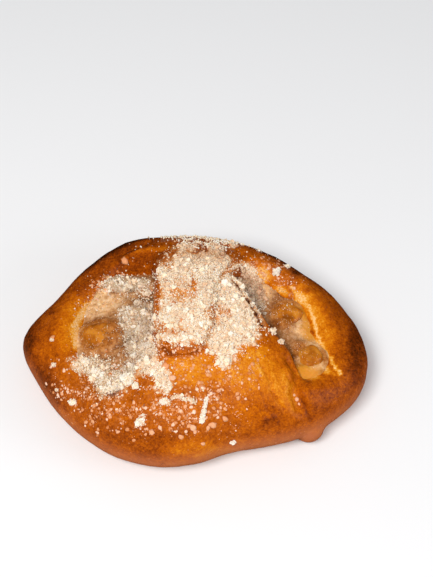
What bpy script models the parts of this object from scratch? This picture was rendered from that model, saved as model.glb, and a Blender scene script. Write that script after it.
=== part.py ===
"""Apple kolache: a square of sweet dough, two corners folded over an apple filling, with streusel on top.

Metres, +Z up. The bun's long side runs along X, and the two folds lie at its front (-Y) and its back (+Y).
The origin is under the middle of the bun, on the surface that it stands on.
"""

import bisect
import math
import random

import bmesh
import bpy
from mathutils import Euler, Matrix, Vector, noise
from mathutils.bvhtree import BVHTree
from mathutils.geometry import intersect_point_line

MM = 0.001

# Driving sizes of the baked bun
LENGTH = 120 * MM
CROWN = 37 * MM  # top of the dome over the middle
CROWN_DROP = 11 * MM  # how much lower the dome is at the two ends
CROWN_POWER = 1.6  # how late along the bun the dome drops
BULGE_Z = 11 * MM  # height of the widest line round the side
SIDE_POWER = 2.3  # roundness of the side: 2 is an ellipse, more is squarer
UNDERSIDE = 1.35  # depth of the underside's curve as a share of BULGE_Z, so that the foot cuts it flat
FOOT_DEPTH = 2 * MM  # how far the uncut underside reaches below the foot
GAP = 0.3 * MM  # clearance between pieces that touch

# Outline of the widest line seen from above: angle in degrees from +X, radius in millimetres
OUTLINE = [
    (0, 61),
    (20, 56),
    (38, 51),
    (58, 47.5),
    (80, 45.5),
    (100, 46.5),
    (120, 51),
    (140, 52),
    (160, 54),
    (177, 60.5),
    (195, 55.5),
    (215, 52),
    (235, 50),
    (255, 47.5),
    (272, 44.5),
    (287, 42.3),
    (303, 45.3),
    (318, 51),
    (330, 56),
    (345, 61),
]

# Outline of the hollow between the corners that holds the filling, in the same way
HOLLOW = [
    (0, 50),
    (20, 45),
    (35, 41),
    (60, 33),
    (90, 27),
    (118, 33),
    (135, 42),
    (150, 46),
    (180, 47),
    (205, 47),
    (220, 44),
    (245, 32),
    (270, 24),
    (310, 26),
    (333, 49),
    (346, 54),
]
HOLLOW_FLOOR = 17 * MM
HOLLOW_SLOPE, HOLLOW_RIM = 0.7, 1.04  # shares of the hollow's radius where its wall starts and ends

# The two folded corners as stations from the fold to the tip: y, left edge and right edge, in millimetres
BACK_CORNER = [(42, -24, 26), (33, -17, 25), (23, -14, 17), (10, -13.5, 9), (-7, -13.5, 6.5), (-21.5, -13, 3)]
FRONT_CORNER = [
    (-39, -24, 0),
    (-35, -28, 14),
    (-30, -28, 34),
    (-24, -24, 39.5),
    (-15, -17, 35.5),
    (-5, -13, 28),
    (6, -6, 21),
    (21, 4, 13),
]
CORNER_THICKNESS = 13 * MM
CORNER_ROUNDING = 4.5  # power of the rounded edge of a folded corner
BACK_LIFT = 5.5 * MM  # how far the back corner's tip lies over the front one
FRONT_LIFT = 0.6 * MM
LIFT_START, LIFT_END = -0.9, 0.6  # where the lift rises, from -1 at the fold to 1 at the tip

PLEAT_END = (39.5, -29.8, 7)  # small knob of dough where the front fold ends, in millimetres
PLEAT_SIZE = (5.5, 4.5, 6)

# Creases pressed into the baked dough: depth, width and the points that each passes, in millimetres
CREASES = [
    (2.2, 2, [(33, -15.5), (36.3, -19.5), (34.3, -26.5), (35.8, -30)]),
    (1.3, 2, [(-37, 24), (-28, 31), (-18, 35.5)]),
    (1.3, 2, [(17.5, 30), (15, 22.5), (9.5, 15)]),
]

# Filling: a flat lens that runs from one open side to the other under the folded corners
FILLING = [
    (0, 49),
    (14, 47),
    (30, 43),
    (60, 30),
    (90, 23),
    (118, 29),
    (137, 40),
    (160, 44),
    (180, 46),
    (205, 45.5),
    (222, 40),
    (250, 25),
    (290, 20),
    (320, 30),
    (338, 51),
]
FILLING_TOP = 23 * MM
FILLING_CROWN = 4.5 * MM  # how much higher it stands under the folded corners
FILLING_CROWN_X = -5 * MM  # middle of that rise along the bun
FILLING_CROWN_REACH = 20 * MM
FILLING_BOTTOM = 9 * MM
FILLING_POWER = 3  # roundness of its edge
FILLING_LUMP = 1.6 * MM
FILLING_LUMP_SPAN = 9 * MM

# Diced apple that lies in the two open sides: centre and size in millimetres, turn about Z, X and Y in degrees
APPLE_PIECES = {
    "apple_piece_left": ((-32.8, -2, 21.2), (10.5, 9.5, 7.6), (20, 8, 2)),
    "apple_piece_right_back": ((33, 7.2, 21), (9.5, 8.5, 7), (-25, 6, 6)),
    "apple_piece_right_front": ((39.6, -10.5, 20.6), (9.5, 8, 7), (30, -5, 3)),
}
APPLE_ROUNDING = 5
APPLE_SKEW = 0.12  # how far cooking drew each dice out of square, as a share of its size

# Streusel crumbs that show one by one: x, y, width and stretch, in millimetres
DOUGH_CRUMBS = [
    (29.3, 23.6, 3.8, 1.1),
    (33.1, 26.6, 2.6, 1.2),
    (23, 26.7, 2.2, 1.1),
    (3.4, -34.5, 2.8, 1.9),
    (6.4, -37.6, 2.2, 1.2),
    (-0.2, -40, 2.2, 1.1),
    (12.5, -38.5, 2.4, 1.3),
    (10.1, -35.2, 2, 1.1),
    (-37.4, -28.9, 3.4, 1.2),
    (-36, -34.1, 2.2, 1.1),
    (-17.9, -39, 2.2, 1.2),
    (-13.6, -41.5, 2.2, 1.2),
    (-47.8, -12.6, 2.2, 1.1),
    (-48.9, -3.7, 2, 1.1),
    (-10, -34, 2.4, 1.2),
    (-24.8, 28, 2.6, 1.2),
]
FILLING_CRUMBS = [
    (-24, -18.5, 3.8, 1.2),
    (-27, -21.5, 3.8, 1.1),
    (29, -5, 3.2, 1.2),
    (31.5, -8.5, 3, 1.3),
    (-22, 12, 3.4, 1.4),
]

# Heaps of smaller crumbs: centre and reach in millimetres, and how many crumbs
DOUGH_HEAPS = [
    (2, 23, 14, 12, 19),
    (6, 4, 14, 12, 20),
    (-3, -13, 11, 9, 9),
    (-30, -27, 11, 6, 8),
    (-10, -29, 12, 8, 7),
    (13, -20, 9, 7, 3),
]
FILLING_HEAPS = [
    (-27, 2, 12, 14, 9),
    (-28, -16, 12, 7, 9),
]
CRUMB_SIZES = (2, 3.4)  # least and greatest width of a crumb in a heap, in millimetres
CRUMB_RISE = 0.22  # how far a crumb's centre stands above what it lies on, as a share of its width
CRUMB_CLEARANCE = 0.35 * MM  # least gap between a crumb and a piece that it isn't part of
CRUMB_UNEVENNESS = 0.18  # how far a crumb's corners stand in or out, as a share of its width
CRUMB_TILT = 0.5  # greatest tilt of a crumb, in radians
HEAP_STRETCH = 1.15
STEEPEST = 0.3  # least upward share of the surface's normal on which a crumb lies

UNEVENNESS = 0.55 * MM
UNEVENNESS_SPAN = 17 * MM

# Divisions of the shapes before they become one skin, and how fine that skin is
BUN_SEGMENTS, BUN_RINGS = 96, 64
KNOB_SEGMENTS, KNOB_RINGS = 24, 16
CORNER_CUTS = 23
FILLING_SEGMENTS, FILLING_RINGS = 36, 16
APPLE_CUTS = 3
VOXEL = 1.0 * MM
SOFTENING, SOFTENING_STEPS = 0.5, 2
DOUGH_SHARE = 0.065  # share of the faces kept when the dough is thinned
CUTTER_WIDTH, CUTTER_DEPTH = 300 * MM, 20 * MM

# Finishes: colour and roughness
FINISHES = {
    "baked_crust": ((0.62, 0.25, 0.03), 0.35),
    "cooked_apple": ((0.42, 0.2, 0.06), 0.3),
    "apple_dice": ((0.5, 0.2, 0.03), 0.25),
}


def smoothstep(low, high, value):
    """0 below low, 1 above high, and a smooth rise between them."""
    t = min(1.0, max(0.0, (value - low) / (high - low)))
    return t * t * (3 - 2 * t)


def curve_value(knots, t):
    """Height at t of a smooth curve through knots, a list of (position, value) with rising positions."""
    places = [k[0] for k in knots]
    i = min(max(bisect.bisect_right(places, t) - 1, 0), len(knots) - 2)

    def slope(j):
        low, high = max(j - 1, 0), min(j + 1, len(knots) - 1)
        return (knots[high][1] - knots[low][1]) / (knots[high][0] - knots[low][0])

    span = knots[i + 1][0] - knots[i][0]
    u = min(1.0, max(0.0, (t - knots[i][0]) / span))
    rise = u * u * (3 - 2 * u)
    start = u * (1 - u) ** 2 * span * slope(i)
    end = u * u * (u - 1) * span * slope(i + 1)
    return knots[i][1] * (1 - rise) + knots[i + 1][1] * rise + start + end


def round_radius(outline, x, y):
    """Radius of an outline in the direction of (x, y), in metres."""
    before = [(a - 360, r) for a, r in outline[-2:]]
    after = [(a + 360, r) for a, r in outline[:2]]
    return curve_value(before + outline + after, math.degrees(math.atan2(y, x)) % 360) * MM


def crown(x):
    """Height of the dome over the long axis."""
    return CROWN - CROWN_DROP * (abs(x) / (LENGTH / 2)) ** CROWN_POWER


def dome(x, y):
    """Top of the bun as if nothing were hollowed out."""
    share = min(1.0, math.hypot(x, y) / round_radius(OUTLINE, x, y))
    return BULGE_Z + (crown(x) - BULGE_Z) * (1 - share**SIDE_POWER) ** (1 / SIDE_POWER)


def uneven(x, y):
    """Soft swells of a bun that was shaped by hand."""
    return UNEVENNESS * noise.noise(Vector((x, y, 0)) / UNEVENNESS_SPAN)


def bun_point(p):
    """Moves a point of a unit sphere to the bun, with the hollow for the filling pressed into its top."""
    radius = round_radius(OUTLINE, p.x, p.y)
    across = math.hypot(p.x, p.y) ** (2 / SIDE_POWER)
    angle = math.atan2(p.y, p.x)
    x, y = radius * across * math.cos(angle), radius * across * math.sin(angle)
    if p.z < 0:
        under = BULGE_Z * UNDERSIDE * abs(p.z) ** (2 / SIDE_POWER)
        return Vector((x, y, max(BULGE_Z - under, -FOOT_DEPTH)))
    top = dome(x, y) + uneven(x, y)
    wall = smoothstep(HOLLOW_SLOPE, HOLLOW_RIM, math.hypot(x, y) / round_radius(HOLLOW, x, y))
    return Vector((x, y, HOLLOW_FLOOR + (top - HOLLOW_FLOOR) * wall if top > HOLLOW_FLOOR else top))


def corner_point(p, stations, lift):
    """Moves a point of a cube from -1 to 1 to a folded corner of dough that follows the dome."""
    size = sum(abs(c) ** CORNER_ROUNDING for c in p) ** (1 / CORNER_ROUNDING)
    a, b, c = p / size
    fold, tip = stations[0][0], stations[-1][0]
    y = fold + (tip - fold) * (b + 1) / 2
    rising = sorted(stations)
    left = curve_value([(s[0], s[1]) for s in rising], y)
    right = curve_value([(s[0], s[2]) for s in rising], y)
    x = (left + (right - left) * (a + 1) / 2) * MM
    y *= MM
    top = dome(x, y) + uneven(x, y) + lift * smoothstep(LIFT_START, LIFT_END, b)
    return Vector((x, y, top + CORNER_THICKNESS * (c - 1) / 2))


def filling_height(x, y):
    """Top of the filling: higher under the folded corners, with soft lumps."""
    lumps = noise.noise(Vector((x, y, 0)) / FILLING_LUMP_SPAN) * FILLING_LUMP
    rise = math.exp(-(((x - FILLING_CROWN_X) / FILLING_CROWN_REACH) ** 2))
    return FILLING_TOP + FILLING_CROWN * rise + lumps


def filling_point(p):
    """Moves a point of a unit sphere to the filling."""
    radius = round_radius(FILLING, p.x, p.y)
    across = math.hypot(p.x, p.y) ** (2 / FILLING_POWER)
    angle = math.atan2(p.y, p.x)
    x, y = radius * across * math.cos(angle), radius * across * math.sin(angle)
    top = filling_height(x, y)
    middle = (top + FILLING_BOTTOM) / 2
    height = (top - FILLING_BOTTOM) / 2 * math.copysign(abs(p.z) ** (2 / FILLING_POWER), p.z)
    return Vector((x, y, middle + height))


def material(name):
    """A plain finish for one piece."""
    colour, roughness = FINISHES[name]
    made = bpy.data.materials.new(name)
    made.use_nodes = True
    shader = made.node_tree.nodes["Principled BSDF"]
    shader.inputs["Base Color"].default_value = (*colour, 1)
    shader.inputs["Roughness"].default_value = roughness
    shader.inputs["Metallic"].default_value = 0
    return made


def new_object(name, bm, collection, finish=None):
    """An object from a bmesh, in its collection."""
    bmesh.ops.triangulate(bm, faces=bm.faces)
    bmesh.ops.recalc_face_normals(bm, faces=bm.faces)
    mesh = bpy.data.meshes.new(name)
    bm.to_mesh(mesh)
    bm.free()
    made = bpy.data.objects.new(name, mesh)
    collection.objects.link(made)
    if finish:
        mesh.materials.append(finish)
    return made


def add_sphere(bm, move, segments, rings):
    """Adds a sphere to bm and moves each of its points."""
    for v in bmesh.ops.create_uvsphere(bm, u_segments=segments, v_segments=rings, radius=1)["verts"]:
        v.co = move(v.co)


def add_block(bm, move, cuts):
    """Adds an evenly divided cube to bm and moves each of its points."""
    block = bmesh.new()
    bmesh.ops.create_cube(block, size=2)
    bmesh.ops.subdivide_edges(block, edges=block.edges, cuts=cuts, use_grid_fill=True)
    for v in block.verts:
        v.co = move(v.co.copy())
    mesh = bpy.data.meshes.new("block")
    block.to_mesh(mesh)
    block.free()
    bm.from_mesh(mesh)
    bpy.data.meshes.remove(mesh)


def crease_depth(x, y):
    """How far the creases press the surface in at a place, in metres."""
    here = Vector((x, y)) / MM
    depth = 0
    for deepest, width, points in CREASES:
        near = LENGTH / MM
        for start, end in zip(points, points[1:]):
            share = min(1, max(0, intersect_point_line(here, Vector(start), Vector(end))[1]))
            near = min(near, (Vector(start).lerp(Vector(end), share) - here).length)
        depth += deepest * math.exp(-((near / width) ** 2))
    return depth * MM


def cut_below(obj, collection):
    """Gives obj its flat foot: a cutter takes off what reaches below the surface that it stands on."""
    bm = bmesh.new()
    size = Matrix.Diagonal((CUTTER_WIDTH, CUTTER_WIDTH, CUTTER_DEPTH, 1))
    bmesh.ops.create_cube(bm, size=1, matrix=Matrix.Translation((0, 0, -CUTTER_DEPTH / 2)) @ size)
    cutter = new_object("foot_cutter", bm, collection)
    cutter.hide_render = True
    cutter.display_type = "WIRE"
    cut = obj.modifiers.new("flat foot", "BOOLEAN")
    cut.operation = "DIFFERENCE"
    cut.object = cutter


def one_skin(obj):
    """Gives shapes that run through each other one soft skin."""
    remesh = obj.modifiers.new("one skin", "REMESH")
    remesh.mode = "VOXEL"
    remesh.voxel_size = VOXEL
    soften = obj.modifiers.new("soft", "SMOOTH")
    soften.factor = SOFTENING
    soften.iterations = SOFTENING_STEPS


def make_dough(parts, cutters):
    """The dough is one piece: the bun with its hollow, its two folded corners and the end of the pleat."""
    bm = bmesh.new()
    add_sphere(bm, bun_point, BUN_SEGMENTS, BUN_RINGS)
    add_block(bm, lambda p: corner_point(p, BACK_CORNER, BACK_LIFT), CORNER_CUTS)
    add_block(bm, lambda p: corner_point(p, FRONT_CORNER, FRONT_LIFT), CORNER_CUTS)
    knob = Vector(PLEAT_END) * MM

    def knob_point(p):
        return knob + Vector(p[i] * PLEAT_SIZE[i] * MM for i in range(3))

    add_sphere(bm, knob_point, KNOB_SEGMENTS, KNOB_RINGS)
    dough = new_object("dough", bm, parts, material("baked_crust"))
    one_skin(dough)
    apply_modifiers(dough)
    normals = [v.normal.copy() for v in dough.data.vertices]
    for v, normal in zip(dough.data.vertices, normals):
        v.co -= normal * crease_depth(v.co.x, v.co.y)
    one_skin(dough)
    thin = dough.modifiers.new("fewer faces", "DECIMATE")
    thin.ratio = DOUGH_SHARE
    cut_below(dough, cutters)
    return dough


def make_filling(parts):
    """The filling runs through the bun, and shows at both open sides."""
    bm = bmesh.new()
    add_sphere(bm, filling_point, FILLING_SEGMENTS, FILLING_RINGS)
    return new_object("apple_filling", bm, parts, material("cooked_apple"))


def make_apple_piece(name, centre, size, turns, parts):
    """One dice of apple with soft edges, cooked a little out of square."""
    bm = bmesh.new()
    turn = Euler([math.radians(a) for a in (turns[1], turns[2], turns[0])]).to_matrix()

    def dice_point(p):
        p = p / sum(abs(c) ** APPLE_ROUNDING for c in p) ** (1 / APPLE_ROUNDING)
        skew = Vector(p[i] * size[i] * MM / 2 * (1 + APPLE_SKEW * p[(i + 1) % 3]) for i in range(3))
        return Vector(centre) * MM + turn @ skew

    add_block(bm, dice_point, APPLE_CUTS)
    return new_object(name, bm, parts, material("apple_dice"))


def cut_by(obj, tool_source, collection):
    """Cuts obj by another piece, grown by the gap that touching pieces keep."""
    cutter = bpy.data.objects.new(tool_source.name + "_cutter", tool_source.data.copy())
    collection.objects.link(cutter)
    cutter.hide_render = True
    cutter.display_type = "WIRE"
    grow = cutter.modifiers.new("gap", "DISPLACE")
    grow.strength = GAP
    grow.mid_level = 0
    cut = obj.modifiers.new("room for " + tool_source.name, "BOOLEAN")
    cut.operation = "DIFFERENCE"
    cut.object = cutter


def surface_of(obj):
    """A tree of the faces of obj as its modifiers leave it."""
    return BVHTree.FromObject(obj, bpy.context.evaluated_depsgraph_get())


def add_crumb(collection, place, width, stretch, draw):
    """One crumb of streusel: a small uneven lump."""
    bm = bmesh.new()
    bmesh.ops.create_icosphere(bm, subdivisions=1, radius=width / 2)
    for v in bm.verts:
        v.co *= draw.uniform(1 - CRUMB_UNEVENNESS, 1 + CRUMB_UNEVENNESS)
        v.co.x *= stretch
    tilt = [draw.uniform(-CRUMB_TILT, CRUMB_TILT) for _ in range(2)]
    turn = Euler([*tilt, draw.uniform(0, math.tau)]).to_matrix().to_4x4()
    bmesh.ops.transform(bm, matrix=Matrix.Translation(place) @ turn, verts=bm.verts)
    return new_object("crumb", bm, collection)


def add_streusel(host, listed, heaps, others, seed):
    """Fuses streusel to the top of host, largest crumbs first, and clear of every other piece."""
    draw = random.Random(seed)
    crumbs = bpy.data.collections.new("crumbs")
    bpy.context.scene.collection.children.link(crumbs)
    wanted = list(listed)
    for x, y, reach_x, reach_y, count in heaps:
        for _ in range(count):
            angle, share = draw.uniform(0, math.tau), math.sqrt(draw.random())
            size = draw.uniform(*CRUMB_SIZES)
            out_x, out_y = reach_x * share * math.cos(angle), reach_y * share * math.sin(angle)
            wanted.append((x + out_x, y + out_y, size, HEAP_STRETCH))
    ground = surface_of(host)
    neighbours = [surface_of(o) for o in others]
    for x, y, width, stretch in wanted:
        above = Vector((x * MM, y * MM, LENGTH))
        hit, normal, _, _ = ground.ray_cast(above, Vector((0, 0, -1)))
        if hit is None or normal.z < STEEPEST:
            continue
        place = hit + normal * width * CRUMB_RISE * MM
        reach = width / 2 * stretch * (1 + CRUMB_UNEVENNESS) * MM + CRUMB_CLEARANCE
        covered = any(tree.ray_cast(above, Vector((0, 0, -1)), LENGTH - hit.z)[0] for tree in neighbours)
        if covered or any(tree.find_nearest(place, reach)[0] for tree in neighbours):
            continue
        add_crumb(crumbs, place, width * MM, stretch, draw)
    fuse = host.modifiers.new("streusel", "BOOLEAN")
    fuse.operation = "UNION"
    fuse.operand_type = "COLLECTION"
    fuse.collection = crumbs
    apply_modifiers(host)
    keep_largest_shell(host)
    for crumb in list(crumbs.objects):
        bpy.data.objects.remove(crumb, do_unlink=True)
    bpy.data.collections.remove(crumbs)


def keep_largest_shell(obj):
    """Fills the small hollows that fused crumbs seal between them, and drops loose scraps."""
    bm = bmesh.new()
    bm.from_mesh(obj.data)
    shells = []
    waiting = set(bm.verts)
    while waiting:
        shell = {waiting.pop()}
        edge_of_shell = list(shell)
        while edge_of_shell:
            v = edge_of_shell.pop()
            for other in (e.other_vert(v) for e in v.link_edges):
                if other in waiting:
                    waiting.remove(other)
                    shell.add(other)
                    edge_of_shell.append(other)
        shells.append(shell)
    shells.sort(key=len)
    bmesh.ops.delete(bm, geom=[v for shell in shells[:-1] for v in shell], context="VERTS")
    bm.to_mesh(obj.data)
    bm.free()


def apply_modifiers(obj):
    """Makes the evaluated shape of obj its own mesh."""
    depsgraph = bpy.context.evaluated_depsgraph_get()
    mesh = bpy.data.meshes.new_from_object(obj.evaluated_get(depsgraph))
    obj.modifiers.clear()
    obj.data = mesh


def centre_on_origin(parts, main_piece):
    """Moves all the pieces so that the origin is under the middle of main_piece."""
    xs, ys = ([v.co[i] for v in main_piece.data.vertices] for i in (0, 1))
    shift = Matrix.Translation((-(min(xs) + max(xs)) / 2, -(min(ys) + max(ys)) / 2, 0))
    for obj in parts.objects:
        obj.data.transform(shift)


def main():
    for obj in list(bpy.data.objects):
        bpy.data.objects.remove(obj, do_unlink=True)
    parts = bpy.data.collections.new("apple_kolache")
    cutters = bpy.data.collections.new("cutters")
    for collection in (parts, cutters):
        bpy.context.scene.collection.children.link(collection)
    dough = make_dough(parts, cutters)
    filling = make_filling(parts)
    apples = [make_apple_piece(name, *values, parts) for name, values in APPLE_PIECES.items()]
    cut_by(dough, filling, cutters)
    for piece in apples:
        cut_by(filling, piece, cutters)
    add_streusel(dough, DOUGH_CRUMBS, DOUGH_HEAPS, [filling, *apples], seed=11)
    add_streusel(filling, FILLING_CRUMBS, FILLING_HEAPS, [dough, *apples], seed=12)
    for cutter in list(cutters.objects):
        bpy.data.objects.remove(cutter, do_unlink=True)
    bpy.data.collections.remove(cutters)
    centre_on_origin(parts, dough)


main()
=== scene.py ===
"""Looks of the apple kolache: crust, cooked apple and streusel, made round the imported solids."""
import bisect
import math
import random

import bpy
import numpy as np
from mathutils import Euler, Matrix, Vector, noise
from mathutils.bvhtree import BVHTree
from mathutils.geometry import intersect_point_line


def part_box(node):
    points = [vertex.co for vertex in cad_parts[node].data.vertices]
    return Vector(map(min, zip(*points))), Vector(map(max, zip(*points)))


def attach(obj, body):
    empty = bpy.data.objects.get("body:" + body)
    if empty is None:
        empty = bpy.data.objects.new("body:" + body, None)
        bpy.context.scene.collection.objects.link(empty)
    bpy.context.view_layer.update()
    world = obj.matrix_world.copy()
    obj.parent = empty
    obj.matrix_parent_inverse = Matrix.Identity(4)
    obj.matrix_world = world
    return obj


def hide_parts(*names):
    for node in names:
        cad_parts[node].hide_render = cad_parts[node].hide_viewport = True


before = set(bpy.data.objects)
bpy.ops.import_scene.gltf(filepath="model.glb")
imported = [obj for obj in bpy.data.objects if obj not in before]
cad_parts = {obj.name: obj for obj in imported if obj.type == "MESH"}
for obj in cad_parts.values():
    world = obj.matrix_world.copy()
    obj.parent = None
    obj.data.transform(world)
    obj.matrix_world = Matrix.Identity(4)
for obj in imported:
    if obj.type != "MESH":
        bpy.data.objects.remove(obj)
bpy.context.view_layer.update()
MM = 0.001
noise.seed_set(4)  # without it the wobble of ragged edges would change with each run


# Camera
# It looks down on the bun from the front at 55 degrees, close enough for the photograph's perspective.
# PHOTO_WIDTH and PHOTO_HEIGHT give the frame that the places in pixels below are counted in.
PHOTO_WIDTH, PHOTO_HEIGHT = 433, 577
ELEVATION = math.radians(55)
DISTANCE = 0.45
TARGET = Vector((0, 0, 0.018))
METRES_ACROSS = 0.1515  # width of the frame at the target
SENSOR = 36
SHIFT_X, SHIFT_Y = 22 / PHOTO_HEIGHT, 51 / PHOTO_HEIGHT
CLIP_NEAR, CLIP_FAR = 0.01, 20

camera_data = bpy.data.cameras.new("camera")
camera = bpy.data.objects.new("camera", camera_data)
bpy.context.scene.collection.objects.link(camera)
bpy.context.scene.camera = camera
towards_camera = Vector((0, -math.cos(ELEVATION), math.sin(ELEVATION)))
camera.location = TARGET + DISTANCE * towards_camera
camera.rotation_euler = (math.radians(90) - ELEVATION, 0, 0)
camera_data.sensor_width = SENSOR
camera_data.lens = SENSOR * DISTANCE / (METRES_ACROSS * PHOTO_HEIGHT / PHOTO_WIDTH)
camera_data.shift_x, camera_data.shift_y = SHIFT_X, SHIFT_Y
camera_data.clip_start, camera_data.clip_end = CLIP_NEAR, CLIP_FAR
CAMERA_TURN = Euler(camera.rotation_euler).to_matrix()


def photo_ray(px, py):
    """Direction from the camera through a pixel of the photograph."""
    spread = SENSOR / camera_data.lens
    x = ((px - PHOTO_WIDTH / 2) / PHOTO_HEIGHT + SHIFT_X) * spread
    y = ((PHOTO_HEIGHT / 2 - py) / PHOTO_HEIGHT + SHIFT_Y) * spread
    return (CAMERA_TURN @ Vector((x, y, -1))).normalized()


def photo_pixel(place):
    """Pixel of the photograph at which a place on the bun shows."""
    seen = CAMERA_TURN.transposed() @ (place - camera.location)
    spread = SENSOR / camera_data.lens
    x = (seen.x / -seen.z / spread - SHIFT_X) * PHOTO_HEIGHT + PHOTO_WIDTH / 2
    y = PHOTO_HEIGHT / 2 - (seen.y / -seen.z / spread - SHIFT_Y) * PHOTO_HEIGHT
    return x, y


def smoothstep(low, high, value):
    """0 below low, 1 above high, and a smooth rise between them."""
    t = min(1.0, max(0.0, (value - low) / (high - low)))
    return t * t * (3 - 2 * t)


BLOT_REACH = 2.2  # an oval's soft edge ends within this many times its size


def blot(px, py, blots, soft=0.35, ragged=3.0, grain=7.0):
    """How far a pixel lies in soft ragged ovals, 0 to 1.

    An oval is (x, y, half width, half height, turn in degrees).
    """
    wobble = noise.noise_vector(Vector((px / grain, py / grain, 3.1))) * ragged
    outside = 1.0
    for x, y, half_width, half_height, turn in blots:
        dx, dy = px + wobble.x - x, py + wobble.y - y
        if abs(dx) + abs(dy) > BLOT_REACH * (half_width + half_height):
            continue
        c, s = math.cos(math.radians(turn)), math.sin(math.radians(turn))
        along, across = (dx * c + dy * s) / half_width, (dy * c - dx * s) / half_height
        outside *= 1 - smoothstep(1 + soft, 1 - soft, math.hypot(along, across))
    return 1 - outside


# Streusel's place
# Butter, flour and sugar rubbed to crumbs were strewn over the middle fold and into the open sides. These
# ovals, in the photograph's pixels, say where it lies thick, where thin, and where crust shows through.
THICK = [
    (200, 268, 33, 12, -5), (245, 270, 9, 8, 0), (188, 247, 8, 4, -15), (216, 249, 7, 4.5, 10),
    (233, 245, 4, 2.5, 20), (179, 276, 19, 22, 0), (215, 290, 30, 26, 0), (182, 315, 24, 24, 0),
    (233, 315, 27, 25, 35), (182, 336, 21, 7, 0), (243, 336, 13, 12, 0), (222, 347, 17, 9, 20),
    (225, 361, 8, 8, 0), (252, 288, 8, 20, -28), (250, 281, 9, 11, -10), (241, 273, 8, 9, -20),
    (137, 318, 17, 20, 0), (141, 345, 15, 22, 0), (122, 286, 20, 8, 5), (143, 284, 9, 6, 20),
    (92, 367, 20, 10, 15), (106, 385, 12, 11, 0), (125, 377, 10, 11, 0), (151, 366, 14, 9, 25),
    (163, 381, 8, 12, -28), (178, 396, 5, 3, 0), (192, 400, 4, 3, 0), (165, 403, 5, 4, 0),
    (141, 421, 4, 5, 0),
]
BARE = [  # small gaps in it
    (213, 305, 3, 3, 0), (228, 313, 3.5, 3, 0), (194, 285, 2.5, 13, 0), (226, 271, 3.5, 13, 32),
    (203, 245, 4, 6, 10), (156, 298, 3.5, 26, -3),
]
SPARSE = [  # wider places with less of it
    (182, 292, 14, 13, 0), (174, 330, 15, 7, 10), (168, 262, 8, 10, 0), (215, 312, 12, 10, 0),
    (243, 258, 9, 9, -30), (245, 352, 14, 8, 0), (128, 300, 12, 8, 0),
]
THIN = [  # single grains
    (160, 300, 60, 55, 0), (230, 300, 50, 55, 0), (275, 290, 30, 16, 35), (205, 240, 40, 7, 0),
    (130, 385, 50, 26, 8), (195, 385, 40, 22, 0), (112, 290, 34, 12, -20), (92, 306, 22, 9, -20),
]
SOAKED = [  # grains that melted into the crust
    (110, 395, 50, 30, 20), (165, 385, 46, 36, 0), (215, 385, 30, 26, 0), (175, 412, 56, 20, 5),
    (102, 287, 22, 9, -35), (92, 350, 5, 14, 0), (182, 350, 24, 7, -6), (180, 300, 20, 20, 0),
    (280, 275, 26, 12, 30), (240, 370, 22, 14, 0),
]
CLEAN = [(139, 265, 20, 11, -5)]  # crust behind the left side that hardly a grain fell on
# The crack: a gap in the streusel whose crust and grains are darkened with painted shade.
CRACK = [(233, 281), (240, 291), (248, 303), (255, 314), (262, 326)]  # beside the folded corner
SHADED_GRAINS = [(213, 249, 44, 13, -4), (248, 280, 8, 16, -28), (265, 290, 12, 14, -30)]  # grains darkened with painted shade, on the far top and beside the folded corner
DUST = [  # fine brown dust on the filling
    (102, 303, 26, 14, -15), (95, 335, 20, 20, 0), (130, 340, 16, 18, 0), (116, 352, 8, 7, 0),
    (282, 305, 14, 22, -30), (300, 345, 11, 24, -35), (76, 330, 4, 22, 5),
]
# Share of the streusel that is missing in those ovals
BARE_LOSS, SPARSE_LOSS, CRACK_LOSS, CLEAN_LOSS = 0.65, 0.62, 0.85, 0.85
CRACK_WANDER, CRACK_HALF_WIDTH = 2.5, 1.5
CRACK_LEFT, CRACK_RIGHT, CRACK_TOP, CRACK_BOTTOM = 220, 270, 260, 334  # pixels that it stays within
DUST_SHARE, THIN_SHARE, THIN_DRIFT_SHARE = 0.7, 0.5, 0.25
DRIFT_RAGGEDNESS = 0.35


def distance_to_path(x, y, points):
    """Distance from a place to the nearest part of a path through points."""
    here = Vector((x, y))
    near = math.inf
    for start, end in zip(points, points[1:]):
        start, end = Vector(start), Vector(end)
        share = intersect_point_line(here, start, end)[1]
        near = min(near, (start.lerp(end, min(1, max(0, share))) - here).length)
    return near


def crack_at(px, py):
    """How near a pixel lies to the crack in the streusel, whose darkness is painted shade, 0 to 1."""
    if not (CRACK_LEFT < px < CRACK_RIGHT and CRACK_TOP < py < CRACK_BOTTOM):
        return 0
    away = distance_to_path(px, py, CRACK) + CRACK_WANDER * noise.noise(Vector((px / 4, py / 4, 8.8)))
    return math.exp(-((away / CRACK_HALF_WIDTH) ** 2))


def thick_at(px, py):
    """How thickly the streusel lies at a pixel, 0 to 1."""
    thick = blot(px, py, THICK, soft=0.6, ragged=5, grain=5)
    thick *= 1 - BARE_LOSS * blot(px, py, BARE, soft=0.5)
    thick *= 1 - CRACK_LOSS * crack_at(px, py)
    return thick * (1 - SPARSE_LOSS * blot(px, py, SPARSE, soft=0.6))


def fringe_at(px, py):
    """How near a pixel lies round the thick places, where the grains lie one by one, 0 to 1."""
    fringe = blot(px, py, THICK, soft=1.1, ragged=9, grain=4) ** 2 * (1 - thick_at(px, py))
    return fringe * (1 - CLEAN_LOSS * blot(px, py, CLEAN))


def drift_at(px, py):
    """Where the grains lie: thick places, broken into drifts with gaps between them."""
    thick = thick_at(px, py)
    drifts = noise.noise(Vector((px / 5, py / 5, 7.7))) + 0.6 * noise.noise(Vector((px / 2, py / 2, 1.7)))
    strewn_share = max(smoothstep(0.0, 0.2, thick), THIN_DRIFT_SHARE * blot(px, py, THIN, soft=0.5))
    strewn_share *= 1 - CLEAN_LOSS * blot(px, py, CLEAN)
    return strewn_share * smoothstep(0.1, 0.75, thick + DRIFT_RAGGEDNESS * drifts)


def dust_at(px, py):
    """Where fine dust lies on the filling."""
    return DUST_SHARE * blot(px, py, DUST, soft=0.6)


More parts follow.
